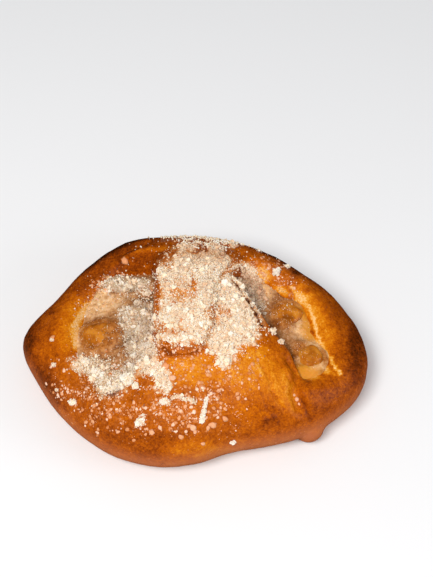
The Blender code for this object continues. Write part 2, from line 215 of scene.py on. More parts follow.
def thin_at(px, py):
    """Where single grains lie."""
    return THIN_SHARE * blot(px, py, THIN, soft=0.5)


# Dough
# A square of sweet yeast dough whose back and front corners were folded over the filling, baked whole. A
# bun with a hollow, two folded corners and the end of the pleat are joined in one skin, then creased,
# wrinkled and blistered. The sizes are those of its solid.
LENGTH = 120 * MM
CROWN, CROWN_DROP, CROWN_POWER = 37 * MM, 11 * MM, 1.6
BULGE_Z, UNDERSIDE_SWELL, UNDERSIDE_DEPTH = 11 * MM, 1.35, 2 * MM
SIDE_POWER = 2.3
OUTLINE = [  # angle in degrees and radius in millimetres
    (0, 61), (20, 56), (38, 51), (58, 47.5), (80, 45.5), (100, 46.5), (120, 51), (140, 52), (160, 54),
    (177, 60.5), (195, 55.5), (215, 52), (235, 50), (255, 47.5), (272, 44.5), (287, 42.3), (303, 45.3),
    (318, 51), (330, 56), (345, 61),
]
HOLLOW = [
    (0, 50), (20, 45), (35, 41), (60, 33), (90, 27), (118, 33), (135, 42), (150, 46), (180, 47),
    (205, 47), (220, 44), (245, 32), (270, 24), (310, 26), (333, 49), (346, 54),
]
HOLLOW_FLOOR, HOLLOW_SLOPE, HOLLOW_EDGE = 17 * MM, 0.7, 1.04
# The folded corners: y, and x of the left and the right edge there, in millimetres
BACK_CORNER = [
    (42, -24, 26), (33, -17, 25), (23, -14, 17), (10, -13.5, 9), (-7, -13.5, 6.5), (-21.5, -13, 3),
]
FRONT_CORNER = [
    (-39, -24, 0), (-35, -28, 14), (-30, -28, 34), (-24, -24, 39.5), (-15, -17, 35.5), (-5, -13, 28),
    (6, -6, 21), (21, 4, 13),
]
CORNER_THICKNESS, CORNER_ROUNDING = 13 * MM, 4.5
BACK_LIFT, FRONT_LIFT = 5.5 * MM, 0.6 * MM
PLEAT_END, PLEAT_SIZE = (39.5, -29.8, 7), (5.5, 4.5, 6)
UNEVENNESS, UNEVENNESS_SPAN = 0.55 * MM, 17 * MM
CREASES = [  # depth, half width and path, in millimetres
    (2.2, 2, [(33, -15.5), (36.3, -19.5), (34.3, -26.5), (35.8, -30)]),
    (1.3, 2, [(-37, 24), (-28, 31), (-18, 35.5)]),
    (1.3, 2, [(17.5, 30), (15, 22.5), (9.5, 15)]),
]
JOINING_VOXEL = 1.0 * MM
DOUGH_VOXEL = 0.57 * MM
FLOOR_CUT = 0.02 * MM


def curve_value(knots, t):
    """Height at t of a smooth curve through knots, a list of (position, value) with rising positions."""
    places = [k[0] for k in knots]
    i = min(max(bisect.bisect_right(places, t) - 1, 0), len(knots) - 2)

    def slope(j):
        low, high = max(j - 1, 0), min(j + 1, len(knots) - 1)
        return (knots[high][1] - knots[low][1]) / (knots[high][0] - knots[low][0])

    span = knots[i + 1][0] - knots[i][0]
    u = min(1.0, max(0.0, (t - knots[i][0]) / span))
    rise = u * u * (3 - 2 * u)
    start = u * (1 - u) ** 2 * span * slope(i)
    end = u * u * (u - 1) * span * slope(i + 1)
    return knots[i][1] * (1 - rise) + knots[i + 1][1] * rise + start + end


def round_radius(outline, x, y):
    """Radius of an outline in the direction of (x, y), in metres."""
    before = [(a - 360, r) for a, r in outline[-2:]]
    after = [(a + 360, r) for a, r in outline[:2]]
    return curve_value(before + outline + after, math.degrees(math.atan2(y, x)) % 360) * MM


def uneven(x, y):
    """Soft swells of a bun that was shaped by hand."""
    return UNEVENNESS * noise.noise(Vector((x, y, 0)) / UNEVENNESS_SPAN)


def dome(x, y):
    """Top of the bun as if nothing were hollowed out."""
    share = min(1.0, math.hypot(x, y) / round_radius(OUTLINE, x, y))
    crown = CROWN - CROWN_DROP * (abs(x) / (LENGTH / 2)) ** CROWN_POWER
    return BULGE_Z + (crown - BULGE_Z) * (1 - share**SIDE_POWER) ** (1 / SIDE_POWER)


def bun_point(p):
    """Moves a point of a unit sphere to the bun, with the hollow for the filling pressed into its top."""
    across = math.hypot(p.x, p.y) ** (2 / SIDE_POWER) * round_radius(OUTLINE, p.x, p.y)
    angle = math.atan2(p.y, p.x)
    x, y = across * math.cos(angle), across * math.sin(angle)
    if p.z < 0:
        under = BULGE_Z * UNDERSIDE_SWELL * abs(p.z) ** (2 / SIDE_POWER)
        return Vector((x, y, max(BULGE_Z - under, -UNDERSIDE_DEPTH)))
    top = dome(x, y) + uneven(x, y)
    wall = smoothstep(HOLLOW_SLOPE, HOLLOW_EDGE, math.hypot(x, y) / round_radius(HOLLOW, x, y))
    return Vector((x, y, HOLLOW_FLOOR + (top - HOLLOW_FLOOR) * wall if top > HOLLOW_FLOOR else top))


def corner_point(p, stations, lift):
    """Moves a point of a cube from -1 to 1 to a folded corner of dough that follows the dome."""
    size = sum(abs(c) ** CORNER_ROUNDING for c in p) ** (1 / CORNER_ROUNDING)
    a, b, c = p / size
    y = stations[0][0] + (stations[-1][0] - stations[0][0]) * (b + 1) / 2
    rising = sorted(stations)
    left = curve_value([(s[0], s[1]) for s in rising], y)
    right = curve_value([(s[0], s[2]) for s in rising], y)
    x = (left + (right - left) * (a + 1) / 2) * MM
    y *= MM
    raised = lift * smoothstep(-0.9, 0.6, b)
    return Vector((x, y, dome(x, y) + uneven(x, y) + raised + CORNER_THICKNESS * (c - 1) / 2))


def move_points(obj, move):
    """Moves each point of a mesh by a rule."""
    for v in obj.data.vertices:
        v.co = move(v.co.copy())


def add_sphere(name, segments, rings):
    """A unit sphere at the origin."""
    bpy.ops.mesh.primitive_uv_sphere_add(segments=segments, ring_count=rings, radius=1)
    bpy.context.object.name = name
    return bpy.context.object


def add_block(name, cuts):
    """A cube from -1 to 1, evenly divided."""
    bpy.ops.mesh.primitive_cube_add(size=2)
    bpy.context.object.name = name
    bpy.ops.object.mode_set(mode="EDIT")
    bpy.ops.mesh.subdivide(number_cuts=cuts)
    bpy.ops.object.mode_set(mode="OBJECT")
    return bpy.context.object


def apply_modifier(obj, kind, **values):
    """Adds a modifier to a piece and applies it."""
    bpy.ops.object.select_all(action="DESELECT")
    obj.select_set(True)
    bpy.context.view_layer.objects.active = obj
    made = obj.modifiers.new(kind.lower(), kind)
    for name, value in values.items():
        setattr(made, name, value)
    bpy.ops.object.modifier_apply(modifier=made.name)


bpy.ops.object.select_all(action="DESELECT")
bun = add_sphere("bun", 192, 128)
move_points(bun, bun_point)
back = add_block("back_corner", 47)
move_points(back, lambda p: corner_point(p, BACK_CORNER, BACK_LIFT))
front = add_block("front_corner", 47)
move_points(front, lambda p: corner_point(p, FRONT_CORNER, FRONT_LIFT))
knob = add_sphere("pleat_end", 32, 20)
move_points(knob, lambda p: Vector((PLEAT_END[i] + p[i] * PLEAT_SIZE[i]) * MM for i in range(3)))
for piece in (bun, back, front, knob):
    piece.select_set(True)
bpy.context.view_layer.objects.active = bun
bpy.ops.object.join()
dough = bpy.context.object
dough.name = "baked_dough"
apply_modifier(dough, "REMESH", mode="VOXEL", voxel_size=JOINING_VOXEL)
apply_modifier(dough, "SMOOTH", factor=0.5, iterations=2)


def press_creases(obj):
    """Presses the creases in along the surface's normals."""
    normals = [v.normal.copy() for v in obj.data.vertices]
    for v, normal in zip(obj.data.vertices, normals):
        depth = 0
        for deepest, width, points in CREASES:
            near = distance_to_path(v.co.x / MM, v.co.y / MM, points)
            depth += deepest * math.exp(-((near / width) ** 2))
        v.co -= normal * depth * MM


press_creases(dough)
apply_modifier(dough, "REMESH", mode="VOXEL", voxel_size=DOUGH_VOXEL)
apply_modifier(dough, "SMOOTH", factor=0.5, iterations=3)
points = np.empty(len(dough.data.vertices) * 3)
dough.data.vertices.foreach_get("co", points)
points = points.reshape(-1, 3)
low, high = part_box("dough")
middle = (points.min(axis=0) + points.max(axis=0)) / 2
CENTRING = Vector(((low[0] + high[0]) / 2 - middle[0], (low[1] + high[1]) / 2 - middle[1], 0))
dough.data.transform(Matrix.Translation(CENTRING))

# Relief of the crust, in millimetres: fine pulled lines on the front fold, blisters and pits, with their
# places and widths in the photograph's pixels. A line is its depth, half width and path, and a blister or
# a pit its place, width and height.
SWELLS = [(0.16, 6.5), (0.07, 2.4)]  # height and span
PULLED_LINES = [
    (0.7, 0.8, [(271, 389), (277, 399), (284, 409)]),
    (0.4, 0.8, [(258, 358), (268, 376), (273, 390)]),
    (0.3, 0.6, [(250, 366), (262, 392), (268, 412)]),
    (0.3, 0.6, [(276, 358), (286, 374), (292, 384)]),
    (0.25, 0.6, [(215, 352), (228, 370), (240, 392)]),
    (0.25, 0.6, [(230, 354), (243, 372), (256, 396)]),
    (0.8, 1.2, [(301, 398), (306, 408), (311, 420)]),
    (1.3, 1.2, [(156, 333), (160, 346), (170, 355), (186, 357), (200, 352), (209, 341)]),
]
STREAKS = [(262, 385, 46, 32, 40)]
BLISTERS = [
    (266, 421, 3.4, 0.8), (273, 418, 2.6, 0.7), (262, 427, 2.2, 0.5), (277, 423, 1.8, 0.5),
    (311, 333, 3.4, 0.8), (307, 340, 2.4, 0.6), (294, 277, 3.4, 0.8), (290, 283, 2.0, 0.5),
    (308, 291, 2.8, 0.7), (309, 383, 2.2, 0.5), (238, 424, 1.8, 0.4),
]
PITS = [(163, 465, 1.6, 0.9), (240, 458, 1.2, 0.5), (66, 362, 1.3, 0.4), (66, 348, 1.2, 0.4)]
STREAK_HEIGHT = 0.14
PILE = 1.1 * MM  # thickness of the streusel where it lies thickest
LUMPS = [(1.0, 1.5), (0.4, 0.7)]  # its lumps: share and span in millimetres
BEHIND_X, BEHIND_REACH = 6, 15  # middle and reach of the streusel on the back slope, in millimetres


def behind_at(place, normal):
    """How thickly the streusel lies on the back slope, out of the photograph's sight, 0 to 1."""
    x, y, z = (c / MM for c in place)
    drifts = 0.7 + noise.noise(Vector((x, y, z)) / 3)
    hidden = smoothstep(0.45, 0.15, normal.dot(towards_camera)) * smoothstep(20, 30, y)
    across = math.exp(-(((x - BEHIND_X) / BEHIND_REACH) ** 2))
    return min(1, max(0, hidden * smoothstep(17, 33, z) * across * drifts))


def pulled_at(px, py):
    """Depth of the pulled lines at a pixel, in millimetres."""
    depth = 0
    for deepest, width, points in PULLED_LINES:
        if abs(px - points[1][0]) < 40 and abs(py - points[1][1]) < 50:
            near = distance_to_path(px, py, points)
            depth += deepest * math.exp(-((near / width / 1.6) ** 2))
    return depth


def spots_at(px, py, spots):
    """Height of soft round spots at a pixel, each (x, y, width, height)."""
    return sum(h * math.exp(-((px - x) ** 2 + (py - y) ** 2) / w**2) for x, y, w, h in spots)


def streak_at(px, py):
    """Fine streaks along the front fold at a pixel, -1 to 1."""
    along, across = 0.5 * px + 0.86 * py, 0.86 * px - 0.5 * py
    return blot(px, py, STREAKS) * noise.noise(Vector((across / 2.2, along / 20, 5)))


def uneven_by(place, heights):
    """Sum of noises at a place, each (height, span in millimetres)."""
    return sum(height * noise.noise(place / MM / span) for height, span in heights)


def relief(place, normal):
    """How far the crust stands out at a place, in metres, and how thick streusel lies there, 0 to 1."""
    out = uneven_by(place, SWELLS)
    px, py = photo_pixel(place)
    seen = smoothstep(0.0, 0.25, normal.dot(towards_camera))
    facing = smoothstep(0.15, 0.45, normal.dot(towards_camera))
    thick = max(thick_at(px, py) * facing * smoothstep(0.05, 0.4, normal.z), behind_at(place, normal))
    out += seen * (spots_at(px, py, BLISTERS) - spots_at(px, py, PITS) - pulled_at(px, py))
    out += STREAK_HEIGHT * seen * streak_at(px, py)
    lumps = 0.35 + 1.5 * max(0, uneven_by(place, LUMPS))
    return out * MM + thick * lumps * PILE, thick


def raise_surface(obj, rule):
    """Raises a mesh along its normals by a rule, and stores how thick streusel lies on it."""
    normals = [v.normal.copy() for v in obj.data.vertices]
    mat = obj.data.attributes.new("mat", "FLOAT", "POINT")
    for i, v in enumerate(obj.data.vertices):
        out, thick = rule(v.co, normals[i])
        v.co += normals[i] * out
        mat.data[i].value = thick


raise_surface(dough, relief)
bpy.ops.object.mode_set(mode="EDIT")
bpy.ops.mesh.select_all(action="SELECT")
bpy.ops.mesh.bisect(plane_co=(0, 0, FLOOR_CUT), plane_no=(0, 0, 1), use_fill=True, clear_inner=True)
bpy.ops.object.mode_set(mode="OBJECT")
bpy.ops.object.shade_smooth()

# Where the crust is browner or paler than its height alone makes it, in the photograph's pixels; the darker
# rims also carry painted shade.
PALE = [
    (103, 306, 20, 9, -18), (263, 275, 9, 8, 30), (281, 290, 8, 4, 35), (300, 298, 8, 5, 40),
    (304, 330, 6, 8, -35), (318, 348, 6, 9, -30), (322, 366, 15, 4, 36), (310, 375, 10, 4, 12),
]
LIPS = [  # half width and path of each pale torn lip
    (1.7, [(290, 287), (298, 294), (307, 304), (313, 318), (317, 334), (323, 347), (331, 359), (340, 373)]),
    (3.2, [(77, 346), (75, 328), (82, 312), (94, 300), (106, 291), (118, 286)]),
]
GOLDEN = [
    (180, 296, 22, 18, 0), (204, 366, 26, 10, 10), (215, 356, 14, 10, 20), (190, 372, 24, 14, 10),
    (250, 368, 34, 22, 32), (72, 325, 13, 24, 10), (284, 392, 12, 22, -30), (317, 318, 9, 28, -25),
    (152, 249, 16, 2.5, -8), (192, 449, 30, 9, 0),
]
# Darker crust at the back, the ends and the far rims: browner there, with painted shade where the rims turn
# away from the light.
DARK_AND_SHADED = [
    (135, 262, 30, 14, -15), (155, 270, 5, 24, 0), (110, 255, 44, 8, -28), (95, 278, 30, 7, -35),
    (290, 262, 50, 5, 30), (45, 385, 12, 26, -30), (28, 340, 8, 26, 15), (356, 350, 8, 30, 0),
    (310, 441, 14, 7, 0),
]
TIP = [(182, 350, 22, 6, -4)]  # browned rim of the back corner's tip
# Browning is 0 for pale dough and 1 for the darkest crust; part of it is painted light and shade. These are
# its share all over, and what is added or taken off at each of the bun's regions.
BASE_BROWN, RIM_BROWN, BACK_BROWN_AND_SHADE = 0.54, 0.2, 0.22
SIDE_LOSS, FRONT_PAINTED_LIGHT, GOLDEN_LOSS, PALE_LOSS = 0.45, 0.1, 0.22, 0.85
DARK_AND_SHADE_BROWN, TIP_BROWN, LINE_SHADE, BLISTER_BROWN, CRACK_SHADE = 0.2, 0.1, 0.2, 0.35, 0.7
STREAK_BROWN = 0.1
BROWN_PATCHES = [(0.08, 11), (0.07, 3.2), (0.1, 1.2)]  # share and span in millimetres
RIM_X, RIM_Y = 60, 46  # half length and half width of the rim, in millimetres


def lip_at(px, py):
    """How far a pixel lies on the pale ragged lips of the open sides, 0 to 1."""
    wobble = noise.noise_vector(Vector((px / 4, py / 4, 9.2))) * 3
    share = 0
    for half_width, points in LIPS:
        if abs(px - points[3][0]) < 50:
            near = distance_to_path(px + wobble.x, py + wobble.y, points)
            share = max(share, smoothstep(1.7, 0.6, near / half_width))
    return share


def browning_and_shading(place, normal):
    """How brown the crust is baked at a place, with painted light and shade added."""
    x, y, z = (c / MM for c in place)
    px, py = photo_pixel(place)
    seen = smoothstep(-0.05, 0.2, normal.dot(towards_camera))
    value = BASE_BROWN + RIM_BROWN * smoothstep(0.75, 1.05, math.hypot(x / RIM_X, y / RIM_Y))
    value += uneven_by(place, BROWN_PATCHES)
    # The side that faces back is darker: browner crust and painted shade on the side turned from the light.
    value += BACK_BROWN_AND_SHADE * smoothstep(0.2, 0.9, normal.y) * smoothstep(8, 24, z)
    value -= SIDE_LOSS * smoothstep(17, 1, z)
    # The lower front wall is paler: painted light standing in for light thrown up by the floor.
    value -= FRONT_PAINTED_LIGHT * smoothstep(-0.1, -0.8, normal.y) * smoothstep(24, 10, z)
    # Pulled lines and the groove under the back corner's tip are darker: painted shade in the grooves.
    value += LINE_SHADE * seen * min(0.7, pulled_at(px, py))
    value -= GOLDEN_LOSS * seen * blot(px, py, GOLDEN, soft=0.6)
    # Darker rims: browner crust with painted shade.
    value += DARK_AND_SHADE_BROWN * seen * blot(px, py, DARK_AND_SHADED, soft=0.6)
    value += TIP_BROWN * seen * blot(px, py, TIP, ragged=1.5)
    value -= STREAK_BROWN * seen * streak_at(px, py)
    value *= 1 - PALE_LOSS * seen * max(blot(px, py, PALE, soft=0.6), lip_at(px, py))
    # The crack beside the folded corner is darkened with painted shade; blisters are baked browner.
    return value + seen * (BLISTER_BROWN * spots_at(px, py, BLISTERS) + CRACK_SHADE * crack_at(px, py))


def add_value(obj, name, rule):
    """Stores a value for each point of a mesh, for its material to read."""
    normals = [v.normal.copy() for v in obj.data.vertices]
    values = [rule(v.co, normals[i]) for i, v in enumerate(obj.data.vertices)]
    made = obj.data.attributes.new(name, "FLOAT", "POINT")
    made.data.foreach_set("value", values)


SOAKED_SHARE = 0.6


def soaked_at(place, normal):
    """Where sugar has melted into the crust, 0 to 1."""
    px, py = photo_pixel(place)
    seen = smoothstep(0.0, 0.25, normal.dot(towards_camera)) * smoothstep(0.1, 0.4, normal.z)
    return seen * max(SOAKED_SHARE * blot(px, py, SOAKED, soft=0.6), blot(px, py, THICK, soft=0.5))


def low_sheen_at(place, normal):
    """How far a place lies on the lower side, which is tinted rosy brown: crust browned on the baking sheet
    and a painted sheen of the pale floor, 0 to 1.
    """
    return smoothstep(18, 9, place.z / MM) * smoothstep(0.8, 0.2, normal.z)


# The browning stored here carries painted light and shade as well as the crust's own colour.
add_value(dough, "brown", browning_and_shading)
add_value(dough, "low", low_sheen_at)
add_value(dough, "soaked", soaked_at)


def new_material(name):
    """A material, its node tree and its shader node."""
    made = bpy.data.materials.new(name)
    made.use_nodes = True
    return made, made.node_tree, made.node_tree.nodes["Principled BSDF"]


def noise_node(tree, scale, detail=4, rough=0.6):
    """Noise on the object's own coordinates."""
    made = tree.nodes.new("ShaderNodeTexNoise")
    made.inputs["Scale"].default_value = scale
    made.inputs["Detail"].default_value = detail
    made.inputs["Roughness"].default_value = rough
    tree.links.new(tree.nodes.new("ShaderNodeTexCoord").outputs["Object"], made.inputs["Vector"])
    return made.outputs["Fac"]


def feed(tree, socket, value):
    """Sets a socket to a number or a colour, or links it to another socket."""
    if isinstance(value, tuple):
        socket.default_value = (*value, 1)
    elif isinstance(value, (int, float)):
        socket.default_value = value
    else:
        tree.links.new(value, socket)


def math_node(tree, operation, first, second, third=None, clamp=False):
    """One sum of two or three values, each a socket or a number, kept within 0 to 1 by clamp."""
    made = tree.nodes.new("ShaderNodeMath")
    made.operation = operation
    made.use_clamp = clamp
    for socket, value in zip(made.inputs, (first, second, third)):
        if value is not None:
            feed(tree, socket, value)
    return made.outputs[0]


def ramp_node(tree, source, stops):
    """Colours along a value."""
    made = tree.nodes.new("ShaderNodeValToRGB")
    for i, (place, colour) in enumerate(stops):
        stop = made.color_ramp.elements[i] if i < 2 else made.color_ramp.elements.new(place)
        stop.position = place
        stop.color = (*colour, 1)
    tree.links.new(source, made.inputs[0])
    return made.outputs[0]


def mix_node(tree, share, first, second):
    """Mix of two colours by a value."""
    made = tree.nodes.new("ShaderNodeMix")
    made.data_type = "RGBA"
    for i, value in ((0, share), (6, first), (7, second)):
        feed(tree, made.inputs[i], value)
    return made.outputs[2]


def attribute_node(tree, name):
    """A value stored on the mesh."""
    made = tree.nodes.new("ShaderNodeAttribute")
    made.attribute_name = name
    return made.outputs["Fac"]


def bump_node(tree, height, strength, distance, below=None):
    """Fine relief from a height value."""
    made = tree.nodes.new("ShaderNodeBump")
    made.inputs["Strength"].default_value = strength
    made.inputs["Distance"].default_value = distance
    tree.links.new(height, made.inputs["Height"])
    if below:
        tree.links.new(below, made.inputs["Normal"])
    return made.outputs[0]


def set_surface(tree, shader, colour, dull, skin, shine, through, tint, depth):
    """Sets how a surface looks, and how much light goes into it, in what tint and how deep."""
    feed(tree, shader.inputs["Base Color"], colour)
    feed(tree, shader.inputs["Roughness"], dull)
    feed(tree, shader.inputs["Normal"], skin)
    shader.inputs["Specular IOR Level"].default_value = shine
    shader.inputs["Subsurface Weight"].default_value = through
    shader.inputs["Subsurface Radius"].default_value = tint
    shader.inputs["Subsurface Scale"].default_value = depth


CRUST_COLOURS = [
    (0.0, (0.89, 0.54, 0.23)),
    (0.14, (0.79, 0.35, 0.04)),
    (0.28, (0.69, 0.215, 0.004)),
    (0.45, (0.53, 0.122, 0.001)),
    (0.6, (0.38, 0.075, 0.001)),
    (0.78, (0.2, 0.033, 0.001)),
    (1.0, (0.05, 0.01, 0.001)),
]
# Rosy brown of the lower side: crust browned on the baking sheet, and a painted sheen of the pale floor.
LOW_SHEEN_COLOUR = (0.46, 0.14, 0.055)
SOAKED_COLOUR = (0.62, 0.2, 0.05)
DRIFT_EDGE_COLOUR = (0.8, 0.42, 0.17)
STREUSEL_TONES = [(0.3, (0.62, 0.37, 0.21)), (0.45, (0.84, 0.61, 0.41)), (0.65, (0.94, 0.78, 0.59))]

crust, tree, shader = new_material("baked_crust")
# The stored browning includes painted light and shade.
brown = attribute_node(tree, "brown")
mottle = noise_node(tree, 300, 6, 0.7)
mottle = math_node(tree, "MULTIPLY_ADD", mottle, 0.42, -0.21)
speckle = noise_node(tree, 1500, 3, 0.7)
speckle = math_node(tree, "MULTIPLY_ADD", speckle, 0.75, -0.375)
browner = math_node(tree, "ADD", math_node(tree, "ADD", brown, mottle), speckle)
colour = ramp_node(tree, browner, CRUST_COLOURS)
# The lower side gets its rosy brown: browned crust and painted sheen.
low_sheen_share = math_node(tree, "MULTIPLY", attribute_node(tree, "low"), 0.85)
colour = mix_node(tree, low_sheen_share, colour, LOW_SHEEN_COLOUR)
soaked_grain = noise_node(tree, 900, 2, 0.5)
soaked_share = math_node(tree, "MULTIPLY_ADD", soaked_grain, 3.0, -1.2, clamp=True)
soaked_share = math_node(tree, "MULTIPLY", soaked_share, attribute_node(tree, "soaked"))
soaked_share = math_node(tree, "MULTIPLY", soaked_share, 0.55)
colour = mix_node(tree, soaked_share, colour, SOAKED_COLOUR)
mat = math_node(tree, "MULTIPLY_ADD", noise_node(tree, 800, 3), 0.5, -0.25)
mat = math_node(tree, "ADD", mat, attribute_node(tree, "mat"))
edge_share = math_node(tree, "MULTIPLY_ADD", mat, 2.5, -0.5, clamp=True)
mat_share = math_node(tree, "MULTIPLY_ADD", mat, 2.5, -1.1, clamp=True)
colour = mix_node(tree, edge_share, colour, DRIFT_EDGE_COLOUR)
grain_tone = ramp_node(tree, noise_node(tree, 1700, 2, 0.7), STREUSEL_TONES)
colour = mix_node(tree, mat_share, colour, grain_tone)
gloss = math_node(tree, "MULTIPLY_ADD", noise_node(tree, 500, 3), 0.25, 0.12)
dull = math_node(tree, "MULTIPLY_ADD", mat_share, 0.4, gloss)
grains = tree.nodes.new("ShaderNodeTexVoronoi")
grains.inputs["Scale"].default_value = 1500
tree.links.new(tree.nodes.new("ShaderNodeTexCoord").outputs["Object"], grains.inputs["Vector"])
grain_depth = math_node(tree, "MULTIPLY", edge_share, -1)
grain_height = math_node(tree, "MULTIPLY", grains.outputs["Distance"], grain_depth)
skin = bump_node(tree, grain_height, 0.8, 0.0005)
skin = bump_node(tree, noise_node(tree, 450, 4, 0.6), 0.35, 0.0006, skin)
skin = bump_node(tree, noise_node(tree, 2200, 3, 0.7), 0.5, 0.0002, skin)
set_surface(tree, shader, colour, dull, skin, 0.13, through=0.03, tint=(1.0, 0.4, 0.15), depth=0.0015)
dough.data.materials.clear()
dough.data.materials.append(crust)
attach(dough, "root")
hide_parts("dough")


# Apple filling
# Diced apple cooked to a thick brown jam with cinnamon. It fills the bun, shows, wet and half clear, at
# both open sides, and climbs up the dice. Its outline and heights are those of its solid, with soft lumps.
FILLING = [
    (0, 49), (14, 47), (30, 43), (60, 30), (90, 23), (118, 29), (137, 40), (160, 44), (180, 46),
    (205, 45.5), (222, 40), (250, 25), (290, 20), (320, 30), (338, 51),
]
FILLING_TOP, FILLING_BOTTOM = 23 * MM, 9 * MM
FILLING_CROWN, FILLING_CROWN_X, FILLING_CROWN_REACH = 4.5 * MM, -5 * MM, 20 * MM
LUMP_SPAN, LUMP_HEIGHT = 9 * MM, 1.6 * MM
FRUIT_SPAN, FRUIT_HEIGHT = 5.5 * MM, 1.2 * MM


def filling_point(p):
    """Moves a point of a unit sphere to the filling."""
    across = math.hypot(p.x, p.y) ** (2 / 3) * round_radius(FILLING, p.x, p.y)
    angle = math.atan2(p.y, p.x)
    x, y = across * math.cos(angle), across * math.sin(angle)
    lumps = noise.noise(Vector((x, y, 0)) / LUMP_SPAN) * LUMP_HEIGHT
    fruit = noise.voronoi(Vector((x, y, 0)) / FRUIT_SPAN)[0][0]
    rise = FILLING_CROWN * math.exp(-(((x - FILLING_CROWN_X) / FILLING_CROWN_REACH) ** 2))
    top = FILLING_TOP + rise + lumps + (0.5 - fruit) * FRUIT_HEIGHT
    centre = (top + FILLING_BOTTOM) / 2
    return Vector((x, y, centre + (top - FILLING_BOTTOM) / 2 * math.copysign(abs(p.z) ** (2 / 3), p.z)))


filling = add_sphere("cooked_apple_filling", 200, 110)
move_points(filling, filling_point)
filling.data.transform(Matrix.Translation(CENTRING))
bpy.ops.object.shade_smooth()


# Centre, size and turns of each dice, in millimetres and degrees
APPLE_PIECES = {
    "apple_piece_left": ((-32.8, -2, 21.2), (10.5, 9.5, 7.6), (20, 8, 2)),
    "apple_piece_right_back": ((33, 7.2, 21), (9.5, 8.5, 7), (-25, 6, 6)),
    "apple_piece_right_front": ((39.6, -10.5, 20.6), (9.5, 8, 7), (30, -5, 3)),
}
JAM_ROUND_APPLE = 1.5  # millimetres that the jam climbs up them
JAM_LUMPS, WET_PILE = 0.5, 1.4  # height of its lumps, and of the streusel on it, in millimetres


def by_apple(place):
    """How close a place is to a dice of apple, 0 to 1 at its flanks."""
    share = 0
    for centre, size, _ in APPLE_PIECES.values():
        away = ((place - CENTRING) / MM - Vector(centre)).xy.length / (size[0] / 2)
        share = max(share, smoothstep(1.9, 1.0, away))
    return share


def filling_relief(place, normal):
    """How far streusel and small lumps raise the filling, in metres, and how thick streusel lies there."""
    thick = thick_at(*photo_pixel(place)) * smoothstep(0.1, 0.5, normal.z)
    lumps = 0.6 + 0.9 * max(0, uneven_by(place, [(1, 1.4)]))
    raised = JAM_ROUND_APPLE * by_apple(place) * smoothstep(0.3, 0.8, normal.z)
    return (uneven_by(place, [(JAM_LUMPS, 2.4)]) + WET_PILE * thick * lumps + raised) * MM, thick


# Where the jam is paler with dough and sugar, golden, or in deep shade, in the photograph's pixels.
PALE_JAM = [
    (100, 306, 24, 9, -15), (301, 331, 8, 11, -35), (314, 345, 6, 7, -30), (311, 366, 12, 4, 15),
    (298, 298, 4, 8, -30), (262, 288, 10, 12, -30),
]
DARK_JAM = [
    (148, 300, 7, 3, 0), (256, 316, 5, 24, -38), (121, 284, 4, 2.5, 20), (128, 341, 4, 3, 0),
    (279, 348, 3.5, 24, -47),
]
GOLDEN_JAM = [(306, 376, 18, 9, 10), (309, 333, 7, 11, -35), (304, 319, 5, 11, -25)]


def pale_jam_at(place, normal):
    """How pale the filling is at a place, 0 to 1."""
    px, py = photo_pixel(place)
    return max(blot(px, py, PALE_JAM, soft=0.7), lip_at(px, py))


add_value(filling, "pale", pale_jam_at)
add_value(filling, "amber", lambda place, normal: by_apple(place))
add_value(filling, "golden", lambda place, normal: 0.8 * blot(*photo_pixel(place), GOLDEN_JAM, soft=0.5))
add_value(filling, "shade", lambda place, normal: blot(*photo_pixel(place), DARK_JAM, soft=0.7))
raise_surface(filling, filling_relief)

JAM_COLOURS = [(0.36, (0.2, 0.065, 0.015)), (0.5, (0.43, 0.18, 0.06)), (0.64, (0.64, 0.35, 0.17))]
AMBER_COLOURS = [(0.36, (0.23, 0.055, 0.004)), (0.5, (0.43, 0.125, 0.01)), (0.64, (0.66, 0.26, 0.05))]
PALE_JAM_COLOURS = [(0.36, (0.76, 0.39, 0.16)), (0.5, (0.94, 0.56, 0.26)), (0.64, (0.98, 0.7, 0.44))]
GOLDEN_JAM_COLOUR = (0.74, 0.29, 0.015)
SHADE_COLOUR = (0.05, 0.02, 0.008)
WET_STREUSEL = (0.55, 0.37, 0.22)
jam, tree, shader = new_material("cooked_apple")
fruit_grain = noise_node(tree, 300, 6, 0.75)
colour = ramp_node(tree, fruit_grain, JAM_COLOURS)
amber = ramp_node(tree, fruit_grain, AMBER_COLOURS)
amber_share = math_node(tree, "MULTIPLY", attribute_node(tree, "amber"), 0.8)
colour = mix_node(tree, amber_share, colour, amber)
mat_share = math_node(tree, "MULTIPLY_ADD", attribute_node(tree, "mat"), 2.0, -0.7, clamp=True)
pale_share = math_node(tree, "MULTIPLY_ADD", noise_node(tree, 700, 3), 2.0, -0.15, clamp=True)
pale_share = math_node(tree, "MULTIPLY", pale_share, attribute_node(tree, "pale"))
pale_jam = ramp_node(tree, noise_node(tree, 600, 5, 0.75), PALE_JAM_COLOURS)
colour = mix_node(tree, pale_share, colour, pale_jam)
colour = mix_node(tree, attribute_node(tree, "golden"), colour, GOLDEN_JAM_COLOUR)
colour = mix_node(tree, mat_share, colour, WET_STREUSEL)
shade_share = math_node(tree, "MULTIPLY", attribute_node(tree, "shade"), 0.75)
colour = mix_node(tree, shade_share, colour, SHADE_COLOUR)
dull = math_node(tree, "MULTIPLY_ADD", mat_share, 0.5, 0.25)
wet = bump_node(tree, noise_node(tree, 700, 4, 0.7), 0.7, 0.0008)
set_surface(tree, shader, colour, dull, wet, 0.3, through=0.25, tint=(1.0, 0.55, 0.25), depth=0.003)
filling.data.materials.clear()
filling.data.materials.append(jam)
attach(filling, "root")
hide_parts("apple_filling")


